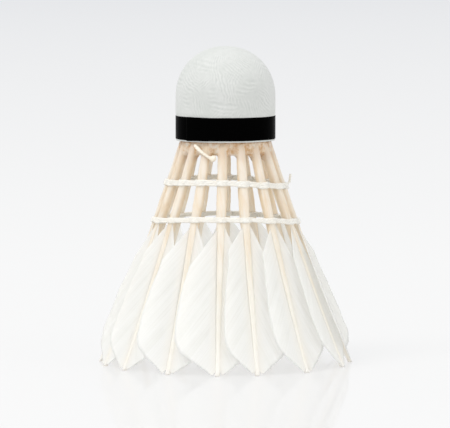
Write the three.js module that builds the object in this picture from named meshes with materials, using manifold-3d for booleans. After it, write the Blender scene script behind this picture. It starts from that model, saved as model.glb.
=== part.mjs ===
// Feather shuttlecock: sixteen goose feathers glued into a covered cork base and
// bound by two rows of thread. Millimetres, +Z up. It stands on its feather tips
// at Z = 0 with the cork nose on top, and the Z axis is its axis of symmetry.
// Angles are degrees about that axis, from the front (-Y) towards +X.
import * as THREE from 'three';
import { mergeVertices } from 'three/addons/utils/BufferGeometryUtils.js';
import Module from 'manifold-3d';

// Overall sizes
const overallHeight = 82.4;
const corkFace = 58; // height of the cork's flat face, where the quills go in
const roundSegments = 48; // round the cork
const ringSegments = 32; // round the thread rows and the glue

// Feathers
const featherCount = 16;
const firstFeatherAngle = -2;
const rootRing = 10.6; // radius of the quills' centre lines at the cork face
const tipRing = 32.5; // and at the tips
const quillBow = 0.85; // how far the quills bow inwards between root and tip
const socketDepth = 6.5; // height of quill inside the cork
const quillSides = 8;
const quillFlatness = 0.95; // depth along the radius over width
// Height above the tips and quill width
const quillTaper = [[0, 1.2], [18, 1.6], [34, 2.1], [42, 2.5], [corkFace, 2.3],
  [corkFace + socketDepth, 2.1]];
// The feathers are glued in by hand: each root stands a little off its even place,
// and each tip leans a few degrees to one side of its root.
const rootShift = [-1.6, 0.3, -1.2, -2, -1, 0, 1, 1.8, 1, 0.3, 0.5, 0, 0, 0.5, 1, -0.9];
const tipLean = [0, -6.4, -2, 4.7, 1.5, 0.5, -0.5, -0.3, 1.2, 1.8, 1.5, 0.8, 0, -3.5, -6.9, -1.5];

// Vanes: height, width of the left side (which covers the next feather) and of
// the right side (which tucks under the next feather)
const vaneOutline = [[0.3, 0.6, 0.6], [4, 7.4, 8.2], [7.2, 10.5, 9.3], [14, 10.2, 9],
  [20, 9.2, 8], [24, 8.2, 7], [27, 7.2, 5.5], [31, 4, 3.1], [35, 1.1, 1.1]];
// Each vane is trimmed by hand: its left width over the nominal one
const vaneTrim = [1.08, 0.78, 0.83, 0.92, 1, 0.97, 1.04, 1, 0.95, 1.03, 1, 0.98, 1.05, 1, 0.96, 1];
const vaneColumns = [-1, -0.3, -0.1, 0.1, 1]; // share of each side's width
const vaneThickness = 0.35;
const vaneFlare = 4; // outward angle of the left side from the tangent
const vaneTuck = 14; // inward angle of the right side
const neighbourMargin = 1.2; // least distance from a right edge to the next quill's centre

// Cork base
const corkRadius = 12.2;
const corkJoint = 68; // height of the joint between the disc and the nose
const domeBase = 69.4; // height where the straight side turns into the dome
const domeFullness = 0.96; // 1 is an ellipse, less is fuller
const coverRadius = 12.85;
const coverThickness = 0.55;
const tapeLow = 58.4;
const tapeHeight = 6;
const tapeRadius = 12.9;
const tapeThickness = 0.15;
const lapAngle = -51; // where the tape's outer end lies
const lapArc = 30; // how far its ends overlap
const labelRadius = 7.5;
const labelThickness = 0.2;

// Binding. Each hand-tied row wanders up and down as it goes round: lifts at the
// front, at the right, and at both front and back.
const upperRow = { low: 46.2, high: 47.9, lifts: [0.25, -0.5, 0.45] };
const lowerRow = { low: 36.8, high: 38.3, lifts: [0.6, -0.15, 0.45] };
const threadCover = 1.65; // thread beyond the quills' centre line, in and out
const threadThickness = 0.6;
const glue = { low: 54.6, high: 57.9, lifts: [0, 0, 0] };
const glueInside = 1.9;
const glueOutside = 0.4;

const jointGap = 0.1; // between glued pieces
const socketGap = 0.2; // between a quill and what goes round it

const wasm = await Module();
wasm.setup();

const finishes = {
  quill: { color: 0xeee2d0, roughness: 0.45 },
  vane: { color: 0xf4f4f0, roughness: 0.7 },
  cork: { color: 0xc49a6c, roughness: 0.9 },
  leather: { color: 0xe2e4e0, roughness: 0.6 },
  tape: { color: 0x0b0b0a, roughness: 0.25 },
  thread: { color: 0xf4f1e7, roughness: 0.5 },
  glue: { color: 0xdcc5aa, roughness: 0.35 },
  paper: { color: 0xf2efe6, roughness: 0.8 },
};
const group = new THREE.Group();

function addPiece(name, geometry, finish) {
  const material = new THREE.MeshStandardMaterial({ ...finishes[finish], metalness: 0 });
  const mesh = new THREE.Mesh(geometry, material);
  mesh.name = name;
  group.add(mesh);
  return mesh;
}

// A point on a circle round the axis
function polar(radius, degrees) {
  const angle = THREE.MathUtils.degToRad(degrees);
  return new THREE.Vector2(radius * Math.sin(angle), -radius * Math.cos(angle));
}

// Straight-line reading of a table whose rows start with a height
function readTable(table, height, column = 1) {
  const next = Math.max(1, table.findIndex((row) => row[0] >= height));
  const [low, high] = [table[next - 1], table[next]];
  return THREE.MathUtils.mapLinear(height, low[0], high[0], low[column], high[column]);
}

// Solids for the cuts and joins, and back

function toSolid(geometry) {
  const bare = geometry.clone();
  bare.deleteAttribute('normal');
  bare.deleteAttribute('uv');
  const merged = mergeVertices(bare, 1e-4);
  return new wasm.Manifold(new wasm.Mesh({
    numProp: 3,
    vertProperties: new Float32Array(merged.attributes.position.array),
    triVerts: new Uint32Array(merged.index.array),
  }));
}

function toGeometry(solid) {
  const { vertProperties, triVerts } = solid.getMesh();
  const geometry = new THREE.BufferGeometry();
  geometry.setAttribute('position', new THREE.BufferAttribute(vertProperties, 3));
  geometry.setIndex(new THREE.BufferAttribute(triVerts, 1));
  geometry.computeVertexNormals();
  return geometry;
}

// Turned shapes: profile points are radius and height

function turned(profile, segments) {
  const points = profile.map(([radius, height]) => new THREE.Vector2(radius, height));
  return new THREE.LatheGeometry(points, segments).rotateX(Math.PI / 2);
}

// Dome from its base circle up to its top on the axis
function domeProfile(radius, top, steps) {
  const points = [];
  for (let step = 0; step <= steps; step += 1) {
    const turn = (step / steps) * (Math.PI / 2);
    const share = step === steps ? 0 : Math.cos(turn) ** domeFullness;
    points.push([radius * share, domeBase + (top - domeBase) * Math.sin(turn) ** domeFullness]);
  }
  return points;
}

// Feathers

function makeFeather(index) {
  const rootAngle = firstFeatherAngle + (index * 360) / featherCount + rootShift[index];
  const root = polar(rootRing, rootAngle);
  const tip = polar(tipRing, rootAngle + tipLean[index]);
  // Centre of the quill at a height
  const centre = (height) => {
    const place = tip.clone().lerp(root, height / corkFace);
    return place.setLength(place.length() - bow(height));
  };
  return { number: String(index + 1).padStart(2, '0'), centre, trim: vaneTrim[index] };
}

// How far a quill lies inside the straight line from its root to its tip
function bow(height) {
  const share = height / corkFace;
  return quillBow * 4 * share * (1 - share);
}

// Radius of the ring of quills at a height
function quillRing(height) {
  return THREE.MathUtils.lerp(tipRing, rootRing, height / corkFace) - bow(height);
}

// Half the quill's depth, measured level along the radius
function quillHalfDepth(height) {
  const lean = Math.atan2(tipRing - rootRing, corkFace);
  return (readTable(quillTaper, height) * quillFlatness) / 2 / Math.cos(lean);
}

// A tapered rod whose sections are level, so that its tip is cut flat for standing
function quillGeometry(feather, gap = 0) {
  const stations = quillTaper.length - 1;
  const geometry = new THREE.CylinderGeometry(1, 1, 1, quillSides, stations);
  const position = geometry.attributes.position;
  for (let i = 0; i < position.count; i += 1) {
    const station = Math.round((position.getY(i) + 0.5) * stations);
    const [height, width] = quillTaper[station];
    const centre = feather.centre(height);
    const outward = centre.clone().normalize();
    const across = position.getX(i) * (width / 2 + gap);
    const out = position.getZ(i) * (quillHalfDepth(height) + gap);
    const x = centre.x + outward.x * out - outward.y * across;
    const y = centre.y + outward.y * out + outward.x * across;
    position.setXYZ(i, x, y, station === stations ? height + gap : height);
  }
  geometry.computeVertexNormals();
  return geometry;
}

// How far out from the quill's centre line the vane lies, at a distance to its right.
// It passes behind the quill, then the left side flares out and the right side tucks in.
function vaneOffset(distance, height) {
  const behindQuill = -quillHalfDepth(height) - jointGap - vaneThickness / 2;
  const beyond = Math.max(0, Math.abs(distance) - readTable(quillTaper, height) / 2);
  if (distance > 0) return behindQuill - beyond * Math.tan(THREE.MathUtils.degToRad(vaneTuck));
  const flare = beyond * Math.tan(THREE.MathUtils.degToRad(vaneFlare));
  return THREE.MathUtils.lerp(behindQuill, 0, Math.min(1, beyond / 2)) + flare;
}

// A thin plate, nearly flat, whose left side stands over the feather to its left, and
// whose right side stops short of the quill to its right
function vaneGeometry(feather, rightNeighbour) {
  const columns = vaneColumns.length - 1;
  const rows = vaneOutline.length - 1;
  const geometry = new THREE.BoxGeometry(1, 1, 1, columns, rows, 1);
  const position = geometry.attributes.position;
  for (let i = 0; i < position.count; i += 1) {
    const column = vaneColumns[Math.round((position.getX(i) + 0.5) * columns)];
    const [height, left, right] = vaneOutline[Math.round((position.getY(i) + 0.5) * rows)];
    const centre = feather.centre(height);
    const room = centre.distanceTo(rightNeighbour.centre(height)) - neighbourMargin;
    const distance = column * (column < 0 ? left * feather.trim : Math.min(right, room));
    const outward = centre.clone().normalize();
    const out = vaneOffset(distance, height) + position.getZ(i) * vaneThickness;
    const x = centre.x + outward.x * out - outward.y * distance;
    const y = centre.y + outward.y * out + outward.x * distance;
    position.setXYZ(i, x, y, height);
  }
  geometry.computeVertexNormals();
  return geometry;
}

const feathers = Array.from({ length: featherCount }, (_, index) => makeFeather(index));
feathers.forEach((feather, index) => {
  const rightNeighbour = feathers[(index + 1) % featherCount];
  addPiece(`feather_${feather.number}_quill`, quillGeometry(feather), 'quill');
  addPiece(`feather_${feather.number}_vane`, vaneGeometry(feather, rightNeighbour), 'vane');
});

// Removes room for every quill from a solid
function fitQuills(solid) {
  return feathers.reduce(
    (rest, feather) => rest.subtract(toSolid(quillGeometry(feather, socketGap))),
    solid,
  );
}

// Cork base: a drilled disc, a rounded nose and the skin round both

function corkDisc() {
  const height = corkJoint - jointGap - corkFace;
  const disc = new THREE.CylinderGeometry(corkRadius, corkRadius, height, roundSegments);
  disc.rotateX(Math.PI / 2);
  disc.translate(0, 0, corkFace + height / 2);
  return toGeometry(fitQuills(toSolid(disc)));
}

function corkNose() {
  const top = overallHeight - coverThickness - jointGap;
  const base = corkJoint + jointGap;
  const profile = [[0, base], [corkRadius, base], ...domeProfile(corkRadius, top, 6)];
  return turned(profile, roundSegments);
}

function corkCover() {
  const outside = domeProfile(coverRadius, overallHeight, 8);
  const insideRadius = coverRadius - coverThickness;
  const inside = domeProfile(insideRadius, overallHeight - coverThickness, 8).reverse();
  const profile = [...inside, [insideRadius, corkFace], [coverRadius, corkFace], ...outside];
  return turned(profile, roundSegments);
}

// One strip of tape whose outer end steps down onto its start
function edgeTape() {
  const outline = new THREE.Shape();
  const step = 360 / roundSegments;
  for (let turn = 0; turn <= 360; turn += step) {
    const layers = turn < lapArc ? 2 : 1;
    const point = polar(tapeRadius + layers * tapeThickness, lapAngle + turn);
    if (turn === 0) outline.moveTo(point.x, point.y);
    else outline.lineTo(point.x, point.y);
  }
  const inside = [];
  for (let turn = 0; turn < 360; turn += step) inside.push(polar(tapeRadius, turn));
  outline.holes.push(new THREE.Path(inside));
  return new THREE.ExtrudeGeometry(outline, { depth: tapeHeight, bevelEnabled: false });
}

function baseLabel() {
  const disc = new THREE.CylinderGeometry(labelRadius, labelRadius, labelThickness, 32);
  return disc.rotateX(Math.PI / 2);
}

addPiece('cork_disc', corkDisc(), 'cork');
addPiece('cork_nose', corkNose(), 'cork');
addPiece('cork_cover', corkCover(), 'leather');
addPiece('edge_tape', edgeTape(), 'tape').position.z = tapeLow;
addPiece('base_label', baseLabel(), 'paper').position.z = corkFace - labelThickness / 2 - jointGap;

// Binding and glue: rings that follow the quills' slope, with room for each quill

function ringRoundQuills({ low, high, lifts }, inside, outside) {
  const profile = [
    [quillRing(low) - inside, low],
    [quillRing(low) + outside, low],
    [quillRing(high) + outside, high],
    [quillRing(high) - inside, high],
    [quillRing(low) - inside, low],
  ];
  const geometry = turned(profile, ringSegments);
  const position = geometry.attributes.position;
  for (let i = 0; i < position.count; i += 1) {
    const [x, y, height] = [position.getX(i), position.getY(i), position.getZ(i)];
    const turn = Math.atan2(x, -y);
    const [front, right, ends] = lifts;
    const lift = front * Math.cos(turn) + right * Math.sin(turn) + ends * Math.cos(2 * turn);
    const scale = 1 + (quillRing(height + lift) - quillRing(height)) / Math.hypot(x, y);
    position.setXYZ(i, x * scale, y * scale, height + lift);
  }
  return fitQuills(toSolid(geometry));
}

// A round thread through places given as radius, angle and height
function threadAlong(places, thickness) {
  const points = places.map(([radius, angle, height]) => {
    const { x, y } = polar(radius, angle);
    return new THREE.Vector3(x, y, height);
  });
  const section = new THREE.Shape().absarc(0, 0, thickness / 2, 0, Math.PI * 2);
  const options = {
    extrudePath: new THREE.CatmullRomCurve3(points),
    steps: 8,
    curveSegments: 4,
    bevelEnabled: false,
  };
  return toSolid(new THREE.ExtrudeGeometry(section, options));
}

// The upper row ends in a short cut end of thread that stands up beside it.
const upperEnd = [[16.3, 90, 46.3], [16.5, 91, 47.6], [16.7, 91, 49.4]];
const upperThread = ringRoundQuills(upperRow, threadCover, threadCover);
addPiece('thread_row_upper', toGeometry(upperThread.add(threadAlong(upperEnd, threadThickness))), 'thread');
const lowerThread = ringRoundQuills(lowerRow, threadCover, threadCover);
addPiece('thread_row_lower', toGeometry(lowerThread), 'thread');

// A loose tail of thread, tacked down across one quill by a bead of glue
const tailThickness = 0.9;
const knotRadius = 0.95;
const knotPlace = polar(12.9, -15.5);
const knotHeight = 53.9;
const tailPoints = [[12.6, -38, 57.1], [13.1, -31, 56.1], [13.3, -24, 55], [12.9, -15.5, knotHeight]];
const knot = new THREE.SphereGeometry(knotRadius, 10, 6).rotateX(Math.PI / 2);
knot.translate(knotPlace.x, knotPlace.y, knotHeight);
const tail = threadAlong(tailPoints, tailThickness).add(toSolid(knot));
addPiece('thread_tail', toGeometry(tail), 'thread');

// Glue fills the gaps between the quill roots under the cork face.
const glueRing = ringRoundQuills(glue, glueInside, glueOutside);
addPiece('glue_ring', toGeometry(glueRing), 'glue');

export default group;
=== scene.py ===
import math
import random

import bpy
import numpy as np
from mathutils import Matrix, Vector, noise


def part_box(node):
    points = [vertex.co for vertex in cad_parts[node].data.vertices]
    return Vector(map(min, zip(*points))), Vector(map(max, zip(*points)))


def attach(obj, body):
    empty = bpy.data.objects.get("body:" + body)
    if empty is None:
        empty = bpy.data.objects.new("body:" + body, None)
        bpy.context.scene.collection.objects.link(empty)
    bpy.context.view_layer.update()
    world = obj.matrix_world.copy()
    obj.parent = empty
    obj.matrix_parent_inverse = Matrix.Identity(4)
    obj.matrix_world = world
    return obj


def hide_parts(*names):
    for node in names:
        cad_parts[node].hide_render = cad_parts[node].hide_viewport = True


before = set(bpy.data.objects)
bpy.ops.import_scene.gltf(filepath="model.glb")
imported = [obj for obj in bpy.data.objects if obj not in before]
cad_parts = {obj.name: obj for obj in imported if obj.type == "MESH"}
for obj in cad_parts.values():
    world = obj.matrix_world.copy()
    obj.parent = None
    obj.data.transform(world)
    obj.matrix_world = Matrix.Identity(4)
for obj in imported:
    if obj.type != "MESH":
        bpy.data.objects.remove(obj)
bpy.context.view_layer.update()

MM = 0.001
BODY = "root"
FEATHERS = 16
NOISE_APART = 13.7  # step between two feathers in the noise that makes each one different

# Camera: in front, a little above the object, and aimed just under its middle
VIEW_DISTANCE = 1066
VIEW_HEIGHT = 125
AIM = Vector((-0.13, 0, 38.65))
SENSOR_WIDTH = 36
FOCAL_LENGTH = 328.5

# Shafts
SHAFT_SIDES = 24
SHAFT_STEP = 0.5  # height between sections
SQUARENESS = (0, 30, 50), (3.0, 2.7, 2.3)  # heights, and the section's power: 2 is an ellipse
GROOVE_DEPTH = 0.12  # of the groove along the inner side
GROOVE_SHARE = (2, 8, 34, 40), (0, 1, 1, 0)  # heights, and the share of that depth
GROOVE_WIDTH = 0.4  # as a share of the shaft's half width
SHAFT_SWAY = 0.07  # how far a shaft wanders to its sides
SHAFT_SWELL = 0.04  # how much its thickness varies, as a share
STUB_ROUGHNESS = 0.13  # how far the stubs of the trimmed barbs stand out at its sides
STUB_SHARE = (32, 36, 52, 56), (0, 1, 1, 0)  # heights, and the share of that roughness

# Vanes: barbs leave the shaft and run outwards and down
BARB_STEPS = 14
LONGEST_BARB = 14
TOP_RISE = 1.1  # the topmost barb starts this times its slope above the CAD vane's top
LOWEST_BARB = 0.6  # no barb leaves the shaft below this height
BARB_ROOT = 0.8  # where barbs leave the shaft, as a share of its half width
BARB_DEPTH = 0.66  # and how far out from its centre line, as a share of its half depth
VANE_THICKNESS = 0.12
LEFT_SLOPE, LEFT_SPACING, LEFT_FLARE = 1.3, 0.55, 4
RIGHT_SLOPE, RIGHT_SPACING, RIGHT_TUCK = 2.1, 0.7, 13.5
LEFT_CUT_TOP, RIGHT_CUT_TOP = 27.5, 25.5  # above these heights the vane's edge is its first barb
BARB_RELIEF = 0.014
VANE_LOW = 0.3  # the barbs stop this far above the floor
EDGE_ROUNDING = 2.2  # the cut edge is averaged this far up and down, to round its corners
RAGGED = 0.09  # how unevenly the barbs are cut, in length
UNEVEN_TOP = 0.5  # how much higher or lower a vane may start
UNEVEN_LEAN = 1.2  # degrees that a side may lean in or out
PARTING_HEIGHTS, PARTING_WIDTHS = (8, 22), (0.1, 0.35)  # ranges for the parting in each side
PARTING_REACH = 2.2  # height over which the barbs lean away from a parting
CAMBER = 0.006  # how much the right side curves along its barbs
VANE_WAVE = 0.03  # slow waves along the vane
BARB_WAVE = 0.006  # and small ones from barb to barb

# Skin over the cork: a straight side, then a dome
SKIN_THICKNESS = 0.5
SKIN_COLUMNS = 500
DOME_HEIGHT = 13
DOME_FULLNESS = 0.96  # 1 is an ellipse, less is fuller
DOME_STEPS = 100
DOME_END = 0.995  # share of the quarter turn at which the dome stops short of its pole
SIDE_STEP = 0.2  # height between loops on the straight side
OVER_TAPE = 0.13  # how far the skin bulges out just above the tape
SKIN_TURN_SCALE = 13  # turns an angle into a distance round the skin
CREASE_PATCHES = ((0.1, 1.1), (1.3, 0.8), (-0.9, 0.65), (0.6, 0.75))  # lean, and crease spacing
CREASE_DEPTH = 0.016
CREASE_SHARE = (1, 9.5), (0, 1)  # distances from the axis, and the share of the creases there

# Tape and glue
TAPE_COLUMNS = 480
TAPE_THICKNESS = 0.13
TAPE_INSET = 0.19  # from the CAD strip's outer face in to this strip's inner face
TAPE_ROUNDING = 0.05
LAP_ANGLE, LAP_ARC = -51, 30  # where the outer end lies, and how far the ends overlap
TAPE_WAVER = 0.06  # how far the tape's edges stray up and down
LAP_SKEW = 0.18  # how far its lapped end hangs low
GLUE_COLUMNS = 480
GLUE_INSIDE = 1.5  # how far the glue reaches inwards from the ring of quills
GLUE_FOOT = 1.2  # and at its lower edge, which is rounded
GLUE_CREEP = 5.0  # degrees from a quill over which the glue has crept down it

# Threads
THREAD_RADIUS = 0.32
THREAD_SIDES = 8
LAPS = 3
NEAR_ROWS = 40  # a height near both rows, at which each quill's direction is taken
UNEVEN_LAPS = 0.06  # how far a lap strays up and down from one quill to the next
RISE = 0.12  # a lap comes to a quill this far below its middle and leaves it as far above
TAIL_RADIUS = 0.44
BEAD_RADIUS = 0.95  # of the bead of glue near the tail's lower end


def polar(radius, degrees, height):
    """A point on a circle round the axis."""
    turn = math.radians(degrees)
    return Vector((radius * math.sin(turn), -radius * math.cos(turn), height))


def cad_points(node):
    """A CAD node's corners in millimetres."""
    return np.array([corner.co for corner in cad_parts[node].data.vertices], float) / MM


def rings_by_height(points):
    """The corners grouped into level rings, lowest first: heights and rings."""
    heights = np.unique(points[:, 2].round(1))
    return heights, [points[abs(points[:, 2] - height) < 0.06] for height in heights]


def wobble(x, y, z=0.0):
    """Smooth noise between about -1 and 1."""
    return noise.noise(Vector((x, y, z)))


def read(table, place):
    """Straight-line reading of a table made of places and the values there."""
    places, values = table
    return float(np.interp(place, places, values))


# ---------- Meshes ----------

def make_mesh(name, points, faces, corner_uv, material):
    """A smooth-shaded object from points in millimetres, with a UV for each face corner."""
    mesh = bpy.data.meshes.new(name)
    mesh.from_pydata((np.array(points) * MM).tolist(), [], faces)
    layer = mesh.uv_layers.new(name="grid")
    layer.data.foreach_set("uv", np.array(corner_uv, dtype=np.float32).ravel())
    mesh.polygons.foreach_set("use_smooth", [True] * len(mesh.polygons))
    mesh.materials.append(material)
    mesh.update()
    piece = bpy.data.objects.new(name, mesh)
    bpy.context.scene.collection.objects.link(piece)
    return piece


def grid_faces(rows, columns, closed, uv):
    """Quads over a grid of points, and their corner UVs.

    A closed grid's last column joins its first.
    """
    faces, corner_uv = [], []
    for row in range(rows - 1):
        for column in range(columns if closed else columns - 1):
            beside = (column + 1) % columns
            faces.append((row * columns + column, row * columns + beside,
                          (row + 1) * columns + beside, (row + 1) * columns + column))
            corner_uv += [uv(row, column), uv(row, column + 1),
                          uv(row + 1, column + 1), uv(row + 1, column)]
    return faces, corner_uv


def rod_mesh(name, rows, uv, material):
    """A closed rod: each row is a ring of points, and both ends are capped."""
    columns = len(rows[0])
    faces, corner_uv = grid_faces(len(rows), columns, True, uv)
    last = (len(rows) - 1) * columns
    faces.append(tuple(range(columns))[::-1])
    faces.append(tuple(range(last, last + columns)))
    corner_uv += [uv(0, 0)] * columns + [uv(len(rows) - 1, 0)] * columns
    return make_mesh(name, [point for row in rows for point in row], faces, corner_uv, material)


def ring_mesh(name, rows, uv, material):
    """A closed ring: each row is a loop round the axis, and the last row joins the first."""
    columns = len(rows[0])
    faces, corner_uv = grid_faces(len(rows) + 1, columns, True, uv)
    faces = [tuple(corner % (len(rows) * columns) for corner in face) for face in faces]
    return make_mesh(name, [point for row in rows for point in row], faces, corner_uv, material)


def finish_piece(piece, node):
    """The piece rides on the body and stands in for a CAD node, which is hidden."""
    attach(piece, BODY)
    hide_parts(node)


# ---------- Materials ----------

def rgb(red, green, blue):
    """A colour given as it shows on a screen, 0 to 255, turned into scene-linear."""
    shown = (red / 255, green / 255, blue / 255)
    linear = [v / 12.92 if v <= 0.04045 else ((v + 0.055) / 1.055) ** 2.4 for v in shown]
    return (*linear, 1)


class Look:
    """A node material built round one Principled shader."""

    def __init__(self, name, **constants):
        self.material = bpy.data.materials.new(name)
        self.material.use_nodes = True
        self.tree = self.material.node_tree
        self.shader = self.tree.nodes["Principled BSDF"]
        for socket, value in constants.items():
            self.shader.inputs[socket.replace("_", " ")].default_value = value

    def node(self, kind, inputs=None, **settings):
        """A new shader node; its inputs are given as values or as other nodes' sockets."""
        made = self.tree.nodes.new("ShaderNode" + kind)
        for key, value in settings.items():
            setattr(made, key, value)
        for socket, value in (inputs or {}).items():
            self.put(made.inputs[socket], value)
        return made

    def put(self, socket, value):
        if isinstance(value, bpy.types.NodeSocket):
            self.tree.links.new(value, socket)
        else:
            socket.default_value = value

    def place(self):
        """Position on the object, in millimetres."""
        where = self.node("TexCoord").outputs["Object"]
        return self.stretch(where, 1 / MM, 1 / MM, 1 / MM)

    def uv(self):
        return self.node("UVMap", uv_map="grid").outputs["UV"]

    def stretch(self, vector, x, y, z):
        return self.node("Mapping", {"Vector": vector, "Scale": (x, y, z)}).outputs["Vector"]

    def part(self, vector, axis):
        return self.node("SeparateXYZ", {"Vector": vector}).outputs[axis]

    def lengthwise(self, around, along, radius, pace):
        """A place for streaks of noise along a rod, without a seam and different on each rod."""
        turn = self.math("MULTIPLY", around, 2 * math.pi)
        corner = {"X": self.math("MULTIPLY", self.math("COSINE", turn), radius),
                  "Y": self.math("MULTIPLY", self.math("SINE", turn), radius),
                  "Z": self.math("MULTIPLY", along, pace)}
        ring = self.node("CombineXYZ", corner).outputs["Vector"]
        apart = self.stretch(self.place(), 0.3, 0.3, 0)
        return self.node("VectorMath", {0: ring, 1: apart}, operation="ADD").outputs["Vector"]

    def math(self, operation, first, second=0.0):
        return self.node("Math", {0: first, 1: second}, operation=operation).outputs[0]

    def noise(self, vector, scale, detail, roughness=0.5):
        inputs = {"Vector": vector, "Scale": scale, "Detail": detail, "Roughness": roughness}
        return self.node("TexNoise", inputs).outputs["Fac"]

    def ramp(self, factor, *stops):
        """Colour by factor: each stop is a position and a colour."""
        made = self.node("ValToRGB", {"Fac": factor})
        elements = made.color_ramp.elements
        while len(elements) < len(stops):
            elements.new(0.5)
        for element, (position, colour) in zip(elements, stops):
            element.position = position
            element.color = colour
        return made.outputs["Color"]

    def span(self, value, low, high, to_low=0.0, to_high=1.0):
        """The value with its range from low to high stretched to another range, and clamped."""
        inputs = {"Value": value, "From Min": low, "From Max": high,
                  "To Min": to_low, "To Max": to_high}
        return self.node("MapRange", inputs).outputs["Result"]

    def mix(self, factor, first, second):
        made = self.node("Mix", data_type="RGBA")
        self.put(made.inputs[0], factor)
        self.put(made.inputs[6], first)
        self.put(made.inputs[7], second)
        return made.outputs[2]

    def bump(self, height, distance, strength, under=None):
        """A normal bent by relief, whose distance is in millimetres, on top of another bump."""
        made = self.node("Bump", {"Height": height, "Distance": distance * MM, "Strength": strength})
        if under is not None:
            self.put(made.inputs["Normal"], under)
        return made.outputs["Normal"]

    def set(self, **links):
        """Sets inputs of the main shader and returns the material."""
        for socket, value in links.items():
            self.put(self.shader.inputs[socket.replace("_", " ")], value)
        return self.material

    def blend(self, other, share):
        """Mixes a share of another shader into the main one."""
        mixed = self.node("MixShader", {0: share, 1: self.shader.outputs[0], 2: other.outputs[0]})
        self.tree.links.new(mixed.outputs[0], self.tree.nodes["Material Output"].inputs["Surface"])
        return self.material

    def let_light_through(self, colour, share):
        return self.blend(self.node("BsdfTranslucent", {"Color": colour}), share)


def keratin_look():
    """Shaft: cream with long streaks, tan with glue at the root, and tan along its sides that is
    partly the trimmed stubs' own tone and partly painted shade on its flanks.
    """
    look = Look("keratin", Roughness=0.42, IOR=1.5, Coat_Weight=0.12, Coat_Roughness=0.25)
    uv = look.uv()
    around, along = look.part(uv, "X"), look.part(uv, "Y")
    streaks = look.noise(look.lengthwise(around, along, 0.8, 0.09), 1.25, 2.0)
    patches = look.noise(look.place(), 0.35, 2.0)
    by_height = look.ramp(
        look.span(along, 0, 58),
        (0.0, rgb(253, 251, 247)), (0.3, rgb(253, 251, 245)), (0.52, rgb(252, 248, 240)),
        (0.66, rgb(252, 247, 238)), (0.9, rgb(252, 246, 236)), (1.0, rgb(245, 230, 209)))
    streaks_above = look.span(along, 14, 40, 0.06, 0.62)
    streak_share = look.math("MULTIPLY", look.span(streaks, 0.4, 0.68), streaks_above)
    streaked = look.mix(streak_share, by_height, rgb(238, 219, 189))
    # Tan on both flanks: partly the trimmed stubs' own tone, partly painted shade where the flanks
    # turn away from the light
    side = look.math("ABSOLUTE", look.math("SINE", look.math("MULTIPLY", around, 2 * math.pi)))
    sides_above = look.span(along, 26, 40, 0.04, 0.55)
    stub_and_shade_share = look.math("MULTIPLY", look.span(side, 0.78, 1.0), sides_above)
    stub_tone_and_shade = look.mix(stub_and_shade_share, streaked, rgb(236, 214, 181))
    tinted = look.mix(look.span(patches, 0.45, 0.7, 0, 0.35), stub_tone_and_shade, rgb(247, 243, 232))
    fine = look.noise(look.stretch(uv, 60, 2.5, 1), 1.0, 3.0)
    look.set(Base_Color=tinted, Roughness=look.span(streaks, 0.3, 0.7, 0.34, 0.52),
             Normal=look.bump(fine, 0.05, 0.6))
    return look.let_light_through(tinted, 0.43)


def barb_look():
    """Vane: white barbs lying side by side, with light coming through; their outer parts are whiter
    with painted light.
    """
    look = Look("feather_barbs", Roughness=0.72, IOR=1.4, Sheen_Weight=0.4, Sheen_Roughness=0.5)
    uv = look.uv()
    barb, along = look.part(uv, "X"), look.part(uv, "Y")
    streaks = look.noise(look.stretch(uv, 0.45, 0.05, 1), 1.0, 3.0)
    single = look.noise(look.stretch(uv, 1.9, 0.12, 1), 1.0, 2.0)
    white = look.mix(look.span(streaks, 0.35, 0.7), rgb(254, 254, 253), rgb(249, 249, 247))
    lined = look.mix(look.span(single, 0.45, 0.72, 0, 0.5), white, rgb(242, 241, 238))
    # Painted light: the barbs turn whiter from 3 to 7 mm out from the shaft, standing in for the glow
    # of a single lit layer at the vane's edge
    painted_edge_light = look.mix(look.span(along, 3, 7, 0, 0.4), lined, rgb(254, 254, 253))
    warm = look.mix(look.span(along, 0, 2.2, 0.25, 0), painted_edge_light, rgb(252, 247, 238))
    ridge = look.math("SINE", look.math("MULTIPLY", barb, 2 * math.pi))
    fluff = look.noise(look.stretch(uv, 7, 3.5, 1), 1.0, 2.0)
    normal = look.bump(ridge, 0.012, 0.4, look.bump(fluff, 0.02, 0.35))
    look.set(Base_Color=warm, Normal=normal, Roughness=look.span(streaks, 0.3, 0.7, 0.66, 0.8))
    return look.let_light_through(warm, 0.66)


def leather_look():
    """Thin white skin with grain: the mesh's own creases and the pores are a little darker with
    painted shade, and its ridges lighter with painted light.
    """
    look = Look("white_skin", Roughness=0.62, IOR=1.4, Sheen_Weight=0.08, Sheen_Roughness=0.6)
    pale, deep = rgb(204, 205, 202), rgb(198, 200, 196)
    painted_crease_shade, painted_ridge_light = rgb(184, 187, 183), rgb(217, 218, 215)
    place = look.place()
    relief = look.node("Attribute", attribute_name="relief").outputs["Fac"]
    large = look.noise(place, 0.1, 3.0)
    grain = look.noise(place, 2.4, 4.0, 0.6)
    pores = look.node("TexVoronoi", {"Vector": place, "Scale": 2.2}).outputs["Distance"]
    base = look.mix(look.span(large, 0.35, 0.65), pale, deep)
    # Painted shade in the creases and painted light on the ridges, both read from the mesh's relief
    lined = look.mix(look.span(relief, 0.2, -1.2, 0, 0.65), base, painted_crease_shade)
    ridge_lit = look.mix(look.span(relief, 0.3, 1.4, 0, 0.6), lined, painted_ridge_light)
    # Painted shade: the pores are darkened with the same crease shade tone
    pore_shaded = look.mix(look.span(pores, 0.25, 0.0, 0, 0.25), ridge_lit, painted_crease_shade)
    normal = look.bump(grain, 0.06, 0.5)
    return look.set(Base_Color=pore_shaded, Normal=normal,
                    Roughness=look.span(grain, 0.3, 0.7, 0.54, 0.7))


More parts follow.
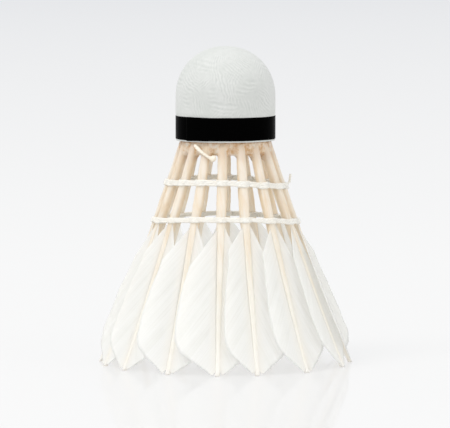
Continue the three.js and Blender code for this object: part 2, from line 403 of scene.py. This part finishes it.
def tape_look():
    """Glossy black plastic tape, faintly rippled."""
    look = Look("black_tape", Roughness=0.25, IOR=1.035)
    place = look.place()
    ripple = look.noise(look.stretch(place, 1, 1, 0.35), 0.9, 2.0)
    scuffs = look.noise(look.stretch(place, 1, 1, 3), 2.2, 4.0, 0.65)
    base = look.mix(look.span(scuffs, 0.6, 0.85), rgb(2, 2, 2), rgb(13, 13, 12))
    return look.set(Base_Color=base, Roughness=look.span(scuffs, 0.4, 0.8, 0.2, 0.42),
                    Normal=look.bump(ripple, 0.08, 0.35))


def thread_look(name, pale, deep):
    """Twisted cotton thread soaked in glue, whose blotches run between two tones, with painted shade
    in the grooves of its twist.
    """
    look = Look(name, Roughness=0.45, IOR=1.45, Coat_Weight=0.25, Coat_Roughness=0.3)
    uv = look.uv()
    around, along = look.part(uv, "X"), look.part(uv, "Y")
    turns = look.math("ADD", look.math("MULTIPLY", around, 3.0), look.math("MULTIPLY", along, 1.1))
    twist = look.math("SINE", look.math("MULTIPLY", turns, 2 * math.pi))
    patches = look.noise(look.place(), 0.5, 3.0)
    fibres = look.noise(look.stretch(uv, 9, 6, 1), 1.0, 2.0)
    base = look.mix(look.span(patches, 0.35, 0.7), pale, deep)
    # Painted shade: the grooves of the twist are darker tan
    groove_shaded = look.mix(look.span(twist, -1.0, -0.2, 0.3, 0), base, rgb(243, 233, 216))
    normal = look.bump(fibres, 0.03, 0.5, look.bump(twist, 0.05, 0.6))
    look.set(Base_Color=groove_shaded, Normal=normal, Roughness=look.span(patches, 0.3, 0.7, 0.38, 0.6))
    return look.let_light_through(groove_shaded, 0.25)


def glue_look():
    """Dried tan glue: blotchy, and glossier in some places than in others."""
    look = Look("dried_glue", Roughness=0.35, IOR=1.48, Coat_Weight=0.35, Coat_Roughness=0.18)
    place = look.place()
    blotches = look.noise(place, 0.6, 4.0, 0.6)
    spots = look.noise(place, 1.5, 3.0)
    base = look.ramp(blotches, (0.36, rgb(252, 245, 232)), (0.48, rgb(246, 226, 198)),
                     (0.6, rgb(222, 185, 138)))
    pinked = look.mix(look.span(spots, 0.5, 0.7, 0, 0.5), base, rgb(240, 214, 196))
    look.set(Base_Color=pinked, Roughness=look.span(spots, 0.3, 0.7, 0.28, 0.5),
             Normal=look.bump(spots, 0.12, 0.5))
    return look.let_light_through(pinked, 0.35)


def cork_look():
    """Raw cork: tan cells, dark specks and short cracks."""
    look = Look("raw_cork", Roughness=0.88, IOR=1.35)
    place = look.place()
    cells = look.node("TexVoronoi", {"Vector": place, "Scale": 1.6}).outputs["Distance"]
    patches = look.noise(place, 0.5, 4.0)
    specks = look.noise(look.stretch(place, 1, 1, 2.2), 1.3, 3.0, 0.7)
    base = look.mix(look.span(patches, 0.35, 0.65), rgb(213, 175, 130), rgb(190, 148, 103))
    specked = look.mix(look.span(specks, 0.62, 0.72), base, rgb(118, 78, 46))
    height = look.math("ADD", look.math("MULTIPLY", cells, 0.5), look.math("MULTIPLY", specks, -0.6))
    return look.set(Base_Color=specked, Normal=look.bump(height, 0.15, 0.7),
                    Roughness=look.span(patches, 0.3, 0.7, 0.8, 0.95))


def paper_look():
    """Plain uncoated paper with faint fibres."""
    look = Look("plain_paper", Roughness=0.8, IOR=1.4)
    place = look.place()
    fibres = look.noise(look.stretch(place, 1, 5, 1), 0.9, 4.0, 0.6)
    clouds = look.noise(place, 0.25, 2.0)
    base = look.mix(look.span(clouds, 0.35, 0.65), rgb(240, 237, 228), rgb(232, 227, 215))
    lined = look.mix(look.span(fibres, 0.55, 0.75, 0, 0.4), base, rgb(219, 212, 198))
    return look.set(Base_Color=lined, Normal=look.bump(fibres, 0.03, 0.5),
                    Roughness=look.span(fibres, 0.3, 0.7, 0.72, 0.88))


# ---------- Feathers ----------

class Feather:
    """A feather's shaft line, shaft widths and vane outline, read from its two CAD nodes."""

    def __init__(self, number):
        self.label = f"feather_{number:02d}"
        self.random = random.Random(number)
        self.random_place = NOISE_APART * (number - 1)
        heights, rings = rings_by_height(cad_points(self.label + "_quill"))
        middles = np.array([(ring.min(0) + ring.max(0)) / 2 for ring in rings])
        self.top = heights[-1]
        self.line_x = np.polyfit(heights, middles[:, 0], 2)
        self.line_y = np.polyfit(heights, middles[:, 1], 2)
        self.ring_heights = heights
        self.ring_widths = [self.reach(ring, height, 1)[1] for ring, height in zip(rings, heights)]
        self.ring_depths = [self.reach(ring, height, 0)[1] for ring, height in zip(rings, heights)]
        self.vane_heights, rings = rings_by_height(cad_points(self.label + "_vane"))
        reaches = [self.reach(ring, height, 1) for ring, height in zip(rings, self.vane_heights)]
        self.vane_left = [-low for low, high in reaches]
        self.vane_right = [high for low, high in reaches]

    def centre(self, height):
        return Vector((np.polyval(self.line_x, height), np.polyval(self.line_y, height), height))

    def axes(self, height):
        """The level directions outwards and to the right at a height."""
        centre = self.centre(height)
        outward = Vector((centre.x, centre.y, 0)).normalized()
        return outward, Vector((-outward.y, outward.x, 0))

    def reach(self, ring, height, axis):
        """How far a level ring of points reaches either way along one of the axes."""
        along = (ring - np.array(self.centre(height))) @ np.array(self.axes(height)[axis])
        return along.min(), along.max()

    def half_width(self, height):
        return read((self.ring_heights, self.ring_widths), height)

    def half_depth(self, height):
        return read((self.ring_heights, self.ring_depths), height)

    def point(self, height, out, across):
        """A point beside the shaft's centre line, moved outwards and to the right."""
        outward, right = self.axes(height)
        return self.centre(height) + outward * out + right * across


def shaft_section(feather, height):
    """One level ring of the shaft: rounded square, grooved inside, rough where barbs were cut."""
    width, depth = feather.half_width(height), feather.half_depth(height)
    power = 2 / read(SQUARENESS, height)
    seed = feather.random_place
    sway = SHAFT_SWAY * wobble(height / 9, seed)
    swell = 1 + SHAFT_SWELL * wobble(height / 4, seed, 5)
    groove = GROOVE_DEPTH * read(GROOVE_SHARE, height)
    stub = read(STUB_SHARE, height)
    ring = []
    for side in range(SHAFT_SIDES):
        turn = 2 * math.pi * side / SHAFT_SIDES
        sine, cosine = math.sin(turn), math.cos(turn)
        across = width * swell * math.copysign(abs(sine) ** power, sine)
        out = depth * swell * math.copysign(abs(cosine) ** power, cosine)
        if cosine < 0:
            out += groove * math.exp(-((sine / GROOVE_WIDTH) ** 2))
        if abs(sine) > 0.9:
            rough = 0.5 + wobble(height * 1.7, seed, math.copysign(3, sine))
            across += math.copysign(STUB_ROUGHNESS * stub * rough, sine)
        ring.append(feather.point(height, out, across + sway))
    return ring


def make_shaft(feather, material):
    """The whole shaft, from its cut tip to its root inside the cork."""
    sections = int(feather.top / SHAFT_STEP) + 1
    heights = [feather.top * index / (sections - 1) for index in range(sections)]
    rows = [shaft_section(feather, height) for height in heights]

    def uv(row, column):
        return column / SHAFT_SIDES, heights[row]

    piece = rod_mesh(feather.label + "_shaft", rows, uv, material)
    finish_piece(piece, feather.label + "_quill")


def barb_length(root, start, slope, edge):
    """How far out a barb reaches from its root before it meets the vane's cut edge."""
    def past_edge(length):
        """Whether a barb of this length reaches the floor or crosses the cut edge."""
        height = start - slope * length
        return height < VANE_LOW or root + length > read(edge, height)

    inside, outside = 0.0, 0.5
    while outside < LONGEST_BARB and not past_edge(outside):
        inside, outside = outside, outside + 0.5
    for _ in range(8):
        middle = (inside + outside) / 2
        if past_edge(middle):
            outside = middle
        else:
            inside = middle
    return inside


def cut_edge(feather, side, cut_top):
    """The vane's cut edge on one side, as a table of heights and distances from the shaft.

    It is the CAD outline below the topmost barbs, averaged over a height so that its
    corners are round.
    """
    heights = np.array(feather.vane_heights)
    widths = np.array(feather.vane_left if side < 0 else feather.vane_right)
    kept = heights <= cut_top
    cut_heights = np.linspace(0, heights[-1] + 3, 160)
    reads = [np.interp(cut_heights + shift, heights[kept], widths[kept])
             for shift in np.linspace(-EDGE_ROUNDING, EDGE_ROUNDING, 7)]
    return cut_heights, np.mean(reads, axis=0)


def vane_rows(feather, side, slope, spacing, lean, cut_top):
    """Grid rows for one side of the vane: a ridge row and a groove row for each barb.

    The side is -1 for the left and 1 for the right. Lean is its angle outwards.
    """
    edge = cut_edge(feather, side, cut_top)
    draw = feather.random
    top = feather.vane_heights[-1] + slope * TOP_RISE + draw.uniform(-UNEVEN_TOP, UNEVEN_TOP)
    flare = math.tan(math.radians(lean + draw.uniform(-UNEVEN_LEAN, UNEVEN_LEAN)))
    parting_height = draw.uniform(*PARTING_HEIGHTS)
    parting_width = draw.uniform(*PARTING_WIDTHS)
    rows, uvs = [], []
    barbs = int((top - LOWEST_BARB) / spacing)
    for half in range(2 * barbs):
        barb = half / 2
        start = top - barb * spacing
        ridge = half % 2 == 0
        root = BARB_ROOT * feather.half_width(start)
        length = barb_length(root, start, slope, edge)
        ragged = RAGGED * draw.random() if ridge else RAGGED * (1.2 + draw.random())
        length = max(0.02, length - ragged)
        wave = wobble(barb * 0.13, feather.random_place, side)
        above = start - parting_height
        parted = math.exp(-abs(above) / PARTING_REACH) * math.copysign(parting_width, above)
        row, row_uv = [], []
        for step in range(BARB_STEPS + 1):
            share = step / BARB_STEPS
            along = length * share
            across = root + along
            height = max(VANE_LOW, start - slope * along + parted * share ** 2)
            camber = 0.0 if side < 0 else CAMBER * along * along
            out = flare * along + camber + VANE_WAVE * along * wave
            out += BARB_WAVE * along * wobble(barb * 0.9, share * 2, feather.random_place)
            out += BARB_RELIEF * (1 if ridge else -1) * min(1, 4 * share)
            out += BARB_DEPTH * feather.half_depth(start)
            row.append(feather.point(height, out, side * across))
            row_uv.append((barb, along))
        rows.append(row)
        uvs.append(row_uv)
    return rows, uvs


def make_barbs(feather, material):
    """Both sides of one feather's vane, as one piece of hooked-together barbs."""
    points, faces, corner_uv = [], [], []
    sides = ((-1, LEFT_SLOPE, LEFT_SPACING, LEFT_FLARE, LEFT_CUT_TOP),
             (1, RIGHT_SLOPE, RIGHT_SPACING, -RIGHT_TUCK, RIGHT_CUT_TOP))
    for side, slope, spacing, lean, cut_top in sides:
        rows, uvs = vane_rows(feather, side, slope, spacing, lean, cut_top)
        first = len(points)

        def uv(row, column, uvs=uvs):
            return uvs[row][column]

        new_faces, new_uv = grid_faces(len(rows), BARB_STEPS + 1, False, uv)
        faces += [tuple(first + corner for corner in face) for face in new_faces]
        corner_uv += new_uv
        points += [point for row in rows for point in row]
    piece = make_mesh(feather.label + "_barbs", points, faces, corner_uv, material)
    thickness = piece.modifiers.new("thickness", "SOLIDIFY")
    thickness.thickness = VANE_THICKNESS * MM
    thickness.offset = 0
    finish_piece(piece, feather.label + "_vane")


# ---------- Threads ----------

def smooth_path(points, pieces):
    """Catmull-Rom curve through the points, in so many pieces from each to the next."""
    points = [Vector(point) for point in points]
    padded = [2 * points[0] - points[1], *points, 2 * points[-1] - points[-2]]
    path = []
    for before, start, end, after in zip(padded, padded[1:], padded[2:], padded[3:]):
        for piece in range(pieces):
            t = piece / pieces
            path.append(0.5 * (2 * start + (end - before) * t
                               + (2 * before - 5 * start + 4 * end - after) * t * t
                               + (3 * start - before - 3 * end + after) * t ** 3))
    return [*path, points[-1]]


def tube_rows(path, radius_at):
    """Rings of points along a path, turning as little as they can from one to the next."""
    rows = []
    tangent = (path[1] - path[0]).normalized()
    normal = tangent.orthogonal().normalized()
    for index, point in enumerate(path):
        ahead = path[min(index + 1, len(path) - 1)] - path[max(index - 1, 0)]
        turned = ahead.normalized()
        normal = tangent.rotation_difference(turned) @ normal
        tangent = turned
        beside = tangent.cross(normal)
        radius = radius_at(index / (len(path) - 1))
        rows.append([point + radius * (math.cos(2 * math.pi * side / THREAD_SIDES) * normal
                                       + math.sin(2 * math.pi * side / THREAD_SIDES) * beside)
                     for side in range(THREAD_SIDES)])
    return rows


def thread_mesh(name, path, material, radius_at=lambda share: THREAD_RADIUS):
    distances = [0.0]
    for start, end in zip(path, path[1:]):
        distances.append(distances[-1] + (end - start).length)

    def uv(row, column):
        return column / THREAD_SIDES, distances[row]

    return rod_mesh(name, tube_rows(path, radius_at), uv, material)


def row_height(node, degrees):
    """Middle height of a CAD thread row near a direction round the axis, its cut end left out."""
    points = cad_points(node)
    angles = np.degrees(np.arctan2(points[:, 0], -points[:, 1]))
    apart = abs((angles - degrees + 180) % 360 - 180)
    radius = np.hypot(points[:, 0], points[:, 1])
    near = points[(apart < 9) & (radius < np.median(radius) + 1.2)][:, 2]
    return float((near.min() + near.max()) / 2)


def row_path(feathers, heights, first, stack, seed):
    """One thread wound round every quill in turn, for several laps, each above the last.

    It starts at the feather with the index first, and stack is the height from its first
    lap to its last.
    """
    def lap_height(index, lap):
        return heights[index] + stack * (lap / (LAPS - 1) - 0.5)

    draw = random.Random(seed)
    path = []
    around = THREAD_RADIUS * 0.9  # from the quill's surface to the thread's centre
    for lap in range(LAPS):
        for count in range(FEATHERS):
            index = (first + count) % FEATHERS
            feather = feathers[index]
            middle = lap_height(index, lap) + draw.uniform(-UNEVEN_LAPS, UNEVEN_LAPS)
            for turn in range(9):
                angle = math.radians(-60 + turn * 60)
                height = middle + RISE * (turn / 4 - 1)
                out = (feather.half_depth(height) + around) * math.cos(angle)
                across = (feather.half_width(height) + around) * math.sin(angle)
                path.append(feather.point(height, out, across))
            following = (index + 1) % FEATHERS
            beyond = feathers[following]
            next_middle = lap_height(following, lap)
            for share in (0.35, 0.65):
                height = middle + RISE + (next_middle - middle - 2 * RISE) * share
                start = feather.point(height, feather.half_depth(height) * 0.9, 0)
                end = beyond.point(height, beyond.half_depth(height) * 0.9, 0)
                path.append(start.lerp(end, share) + Vector((0, 0, draw.uniform(-0.05, 0.05))))
    return path


def make_thread_rows(feathers, material):
    """Both rows; the upper one has a short cut end that stands up from it."""
    # CAD node, piece, index of the first feather, height from first lap to last, seed
    rows = (("thread_row_upper", "upper_binding_thread", 4, 0.84, 1),
            ("thread_row_lower", "lower_binding_thread", 12, 0.72, 2))
    for node, name, first, stack, seed in rows:
        heights = []
        for feather in feathers:
            centre = feather.centre(NEAR_ROWS)
            heights.append(row_height(node, math.degrees(math.atan2(centre.x, -centre.y))))
        path = row_path(feathers, heights, first, stack, seed)
        if node == "thread_row_upper":
            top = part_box(node)[1].z / MM
            path += [polar(16.5, 92, heights[first] + 0.6), polar(16.8, 91, heights[first] + 1.9),
                     polar(16.9, 90, top - 0.4)]
        piece = thread_mesh(name, smooth_path(path, 3), material)
        finish_piece(piece, node)


def make_thread_tail(material):
    """The loose tail: it runs down across one quill and ends in a bead of glue."""
    low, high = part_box("thread_tail")
    top, bottom = high.z / MM - 0.3, low.z / MM + BEAD_RADIUS
    drop = top - bottom
    places = [(12.5, -39, top), (12.9, -34, top - 0.2 * drop), (13.25, -29, top - 0.42 * drop),
              (13.4, -23, top - 0.7 * drop), (13.2, -18, top - 0.92 * drop), (12.9, -14.5, bottom),
              (12.7, -12.5, bottom - 0.5)]
    path = smooth_path([polar(*place) for place in places], 8)

    def radius_at(share):
        bead = math.exp(-(((share - 0.84) / 0.1) ** 2))
        lumpy_bead = 0.5 * bead * (1 + 0.12 * math.sin(share * 60))
        return TAIL_RADIUS + 0.06 * math.sin(share * 9) + lumpy_bead

    piece = thread_mesh("loose_thread_tail", path, material, radius_at)
    finish_piece(piece, "thread_tail")


# ---------- Cork base ----------

def turned_grid(profile, columns, shift):
    """Loops of points round the axis, each point moved out along the profile's normal by shift."""
    rows = []
    for index, (radius, height) in enumerate(profile):
        before, after = profile[max(index - 1, 0)], profile[min(index + 1, len(profile) - 1)]
        along = Vector((after[0] - before[0], after[1] - before[1])).normalized()
        row = []
        for column in range(columns):
            degrees = 360 * column / columns
            move = shift(radius, height, degrees)
            row.append(polar(radius + along.y * move, degrees, height - along.x * move))
        rows.append(row)
    return rows


def crease(point):
    """Relief of the skin at a point, mostly -1 to 1: crease bands that fade in and out, and grain."""
    around = math.atan2(point.x, -point.y) * SKIN_TURN_SCALE
    bend = 0.32 * wobble(*(point / 1.1)) + 0.9 * wobble(*(point / 5))
    bands, total = 0.0, 0.02
    for patch, (lean, spacing) in enumerate(CREASE_PATCHES):
        strength = max(0.0, wobble(point.x / 5 + 17 * patch, point.y / 5, point.z / 5)) ** 3
        across = math.cos(lean) * point.z + math.sin(lean) * around + bend
        bands += strength * math.sin(2 * math.pi * across / spacing)
        total += strength
    stretched = read(CREASE_SHARE, math.hypot(point.x, point.y))
    grain = 0.5 * wobble(*(point * 1.1)) + 0.4 * wobble(*(point * 2.3))
    return stretched * bands / total + grain


def make_cover(material):
    """The skin: a thin closed shell stretched over the cork, with real creases."""
    low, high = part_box("cork_cover")
    radius, base, top = high.x / MM, low.z / MM, high.z / MM
    tape_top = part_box("edge_tape")[1].z / MM
    shoulder = top - DOME_HEIGHT
    loops = int((shoulder - base) / SIDE_STEP)
    outline = [(radius, base + SIDE_STEP * step) for step in range(loops)]
    for step in range(DOME_STEPS + 1):
        turn = step / DOME_STEPS * math.pi / 2 * DOME_END
        outline.append((radius * math.cos(turn) ** DOME_FULLNESS,
                        shoulder + (top - shoulder) * math.sin(turn) ** DOME_FULLNESS))
    # Heights, and how far the skin stands out from its outline there
    bulge = (tape_top - 0.2, tape_top + 0.9, top - 4, top), (0, OVER_TAPE, 0.05, 0)
    relief = []  # of each outer point, in the order in which the grid makes them

    def shift(radius_here, height, degrees):
        here = crease(polar(radius_here, degrees, height)) if height > tape_top else 0.0
        relief.append(here)
        return read(bulge, height) + CREASE_DEPTH * here

    def inside(across, up):
        """The inner surface beside a point of the outline, kept off the axis."""
        return max(0.3, across - SKIN_THICKNESS), up - (SKIN_THICKNESS if up > shoulder else 0)

    outer = turned_grid(outline, SKIN_COLUMNS, shift)
    inner_outline = [inside(across, up) for across, up in outline[::6]][::-1]
    inner = turned_grid(inner_outline, SKIN_COLUMNS, lambda *place: 0)
    rows = inner + outer

    def uv(row, column):
        return column / SKIN_COLUMNS, row / len(rows)

    piece = rod_mesh("skin_cover", rows, uv, material)
    stored = piece.data.attributes.new("relief", "FLOAT", "POINT")
    stored.data.foreach_set("value", [0.0] * (len(inner) * SKIN_COLUMNS) + relief)
    finish_piece(piece, "cork_cover")


def make_tape(material):
    """One strip of tape round the skin's edge, whose outer end laps over its start."""
    low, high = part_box("edge_tape")
    inside = high.x / MM - TAPE_INSET
    base, top = low.z / MM, high.z / MM
    angles = [360 * column / TAPE_COLUMNS for column in range(TAPE_COLUMNS)]
    # Degrees past the outer end, and how far the strip is lifted there, in thicknesses of tape
    lift = (0, 0.8, LAP_ARC, LAP_ARC + 2), (0, 1, 1, 0.1)
    # Degrees past the outer end, and how low the strip hangs there
    hang = (0, 0.8, LAP_ARC), (0, LAP_SKEW, 0)

    def outside(degrees):
        into_lap = (degrees - LAP_ANGLE) % 360
        return inside + TAPE_THICKNESS * (1 + read(lift, into_lap))

    def height_at(share, degrees):
        """Height of a place given as a share of the strip's width; both edges waver."""
        turn = math.radians(degrees)
        edge = 1 if share < 0.5 else 7  # each edge wavers in its own way
        waver = TAPE_WAVER * wobble(2.2 * math.sin(turn), 2.2 * math.cos(turn), edge)
        skew = read(hang, (degrees - LAP_ANGLE) % 360)
        return base + share * (top - base) + waver - skew * (1 - share)

    # The outer face from its lower edge up, with rounded edges, and then the inner face
    rows = []
    for share in (0, 0.012, 0.05, 0.35, 0.65, 0.95, 0.988, 1):
        rounding = TAPE_ROUNDING if share in (0, 1) else 0.0
        rows.append([polar(outside(angle) - rounding, angle, height_at(share, angle))
                     for angle in angles])
    for share in (1, 0):
        rows.append([polar(inside, angle, height_at(share, angle)) for angle in angles])

    def uv(row, column):
        return column / TAPE_COLUMNS, row / len(rows)

    piece = ring_mesh("black_edge_tape", rows, uv, material)
    finish_piece(piece, "edge_tape")


def make_glue(feathers, material):
    """Glue between the quill roots: webs with arched lower edges that creep down each quill."""
    low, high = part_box("glue_ring")
    top, arch = high.z / MM + 0.05, low.z / MM
    angles = [360 * column / GLUE_COLUMNS for column in range(GLUE_COLUMNS)]
    spots = [feather.centre(arch) for feather in feathers]
    roots = [math.degrees(math.atan2(spot.x, -spot.y)) for spot in spots]
    # Heights, and how far out the web is from the ring of quills, or the film from a quill's face
    web_out = (arch - 0.5, arch + 0.6, 56.6, top), (-0.9, 0.1, 0.85, 1.2)
    film_out = (arch, top - 0.6, top), (-0.5, -0.1, 0.15)
    film_share = (4, 8), (1, 0)  # degrees from a quill, and the share of film there

    def ring(height):
        return Vector(feathers[0].centre(height)[:2]).length

    def apart(degrees):
        """Degrees to the nearest quill."""
        return min(abs((degrees - root + 180) % 360 - 180) for root in roots)

    def uneven(degrees):
        """Smooth noise from about 0 to 1 that meets itself round the ring."""
        turn = math.radians(degrees)
        return 0.5 + 0.5 * wobble(3 * math.sin(turn), 3 * math.cos(turn))

    def bottom(degrees):
        creep = math.exp(-((apart(degrees) / GLUE_CREEP) ** 2)) * (1.0 + 1.1 * uneven(degrees))
        return arch + 0.25 - creep - 0.35 * uneven(degrees)

    def outer_face(degrees, height):
        """The web's surface between two quills, which blends into a film at each quill."""
        web = read(web_out, height)
        film = feathers[0].half_depth(height) + read(film_out, height)
        lumps = 0.14 * wobble(degrees / 5, height / 1.5)
        return ring(height) + web + (film - web) * read(film_share, apart(degrees)) + lumps

    # The inner face, rounded at its foot, and then the outer face from its foot to the top
    rows = [[polar(ring(top) - GLUE_INSIDE, angle, top) for angle in angles],
            [polar(ring(arch) - GLUE_INSIDE, angle, bottom(angle) + 0.8) for angle in angles],
            [polar(ring(arch) - GLUE_FOOT, angle, bottom(angle)) for angle in angles]]
    for share in (0, 0.12, 0.25, 0.38, 0.5, 0.62, 0.75, 0.88, 1):
        row = []
        for angle in angles:
            height = bottom(angle) + (top - bottom(angle)) * share
            row.append(polar(outer_face(angle, height), angle, height))
        rows.append(row)

    def uv(row, column):
        return column / GLUE_COLUMNS, row / len(rows)

    piece = ring_mesh("root_glue", rows, uv, material)
    finish_piece(piece, "glue_ring")


# ---------- Studio ----------

def floor_look():
    """A pale back-lit table, a little dimmer far away, with a trace of gloss."""
    look = Look("pale_floor", Roughness=0.9, Specular_IOR_Level=0.0, Emission_Strength=1.0)
    where = look.node("TexCoord").outputs["Object"]
    far = look.node("VectorMath", {0: where}, operation="LENGTH").outputs["Value"]
    share = look.span(far, 0.3, 3.4)
    look.set(Base_Color=look.mix(share, (0.2, 0.195, 0.186, 1), (0.16, 0.16, 0.16, 1)),
             Emission_Color=look.mix(share, (0.672, 0.676, 0.685, 1), (0.582, 0.59, 0.612, 1)))
    gloss = look.node("BsdfGlossy", {"Color": (1, 1, 1, 1), "Roughness": 0.05})
    return look.blend(gloss, 0.22)


def make_floor():
    mesh = bpy.data.meshes.new("floor")
    reach = 12.0
    mesh.from_pydata([(-reach, -reach, 0), (reach, -reach, 0), (reach, reach, 0), (-reach, reach, 0)],
                     [], [(0, 1, 2, 3)])
    mesh.materials.append(floor_look())
    floor = bpy.data.objects.new("floor", mesh)
    bpy.context.scene.collection.objects.link(floor)


def aim(thing, target):
    """Points a camera or a lamp at a place."""
    thing.rotation_euler = (target - thing.location).to_track_quat("-Z", "Y").to_euler()


def add_light(name, place, size, power, colour, mirrored=True):
    """A round soft light; one that isn't mirrored leaves no bright patch in the glossy floor."""
    light = bpy.data.lights.new(name, "AREA")
    light.shape = "DISK"
    light.size = size
    light.energy = power
    light.color = colour
    lamp = bpy.data.objects.new(name, light)
    bpy.context.scene.collection.objects.link(lamp)
    lamp.location = place
    lamp.visible_glossy = mirrored
    aim(lamp, AIM * MM)


def set_studio():
    """An even white surrounding and two soft lamps, shown without tone mapping."""
    world = bpy.data.worlds.new("studio")
    world.use_nodes = True
    world.node_tree.nodes["Background"].inputs["Color"].default_value = (0.98, 0.99, 1.0, 1)
    world.node_tree.nodes["Background"].inputs["Strength"].default_value = 1.0
    bpy.context.scene.world = world
    add_light("key", Vector((-0.68, -0.5, 1.2)), 0.7, 8.5, (1.0, 1.0, 1.0))
    add_light("right_fill", Vector((1.2, -0.75, 0.3)), 0.9, 3.5, (1.0, 0.995, 0.985), mirrored=False)
    bpy.context.scene.view_settings.view_transform = "Standard"


def add_camera():
    camera = bpy.data.cameras.new("camera")
    camera.sensor_width = SENSOR_WIDTH
    camera.lens = FOCAL_LENGTH
    eye = bpy.data.objects.new("camera", camera)
    bpy.context.scene.collection.objects.link(eye)
    eye.location = Vector((AIM.x, -VIEW_DISTANCE, VIEW_HEIGHT)) * MM
    aim(eye, AIM * MM)
    bpy.context.scene.camera = eye


# ---------- Build ----------

keratin, barbs = keratin_look(), barb_look()
feathers = [Feather(number) for number in range(1, FEATHERS + 1)]
for feather in feathers:
    make_shaft(feather, keratin)
    make_barbs(feather, barbs)
make_thread_rows(feathers, thread_look("glued_thread", rgb(255, 254, 249), rgb(252, 248, 239)))
make_thread_tail(thread_look("glue_soaked_tail", rgb(255, 250, 238), rgb(251, 244, 229)))
make_cover(leather_look())
make_tape(tape_look())
make_glue(feathers, glue_look())

# These CAD nodes keep their shape and get a better material
kept_looks = {"cork_disc": cork_look(), "cork_nose": cork_look(), "base_label": paper_look()}
for node, material in kept_looks.items():
    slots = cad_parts[node].data.materials
    slots.clear()
    slots.append(material)

make_floor()
set_studio()
add_camera()
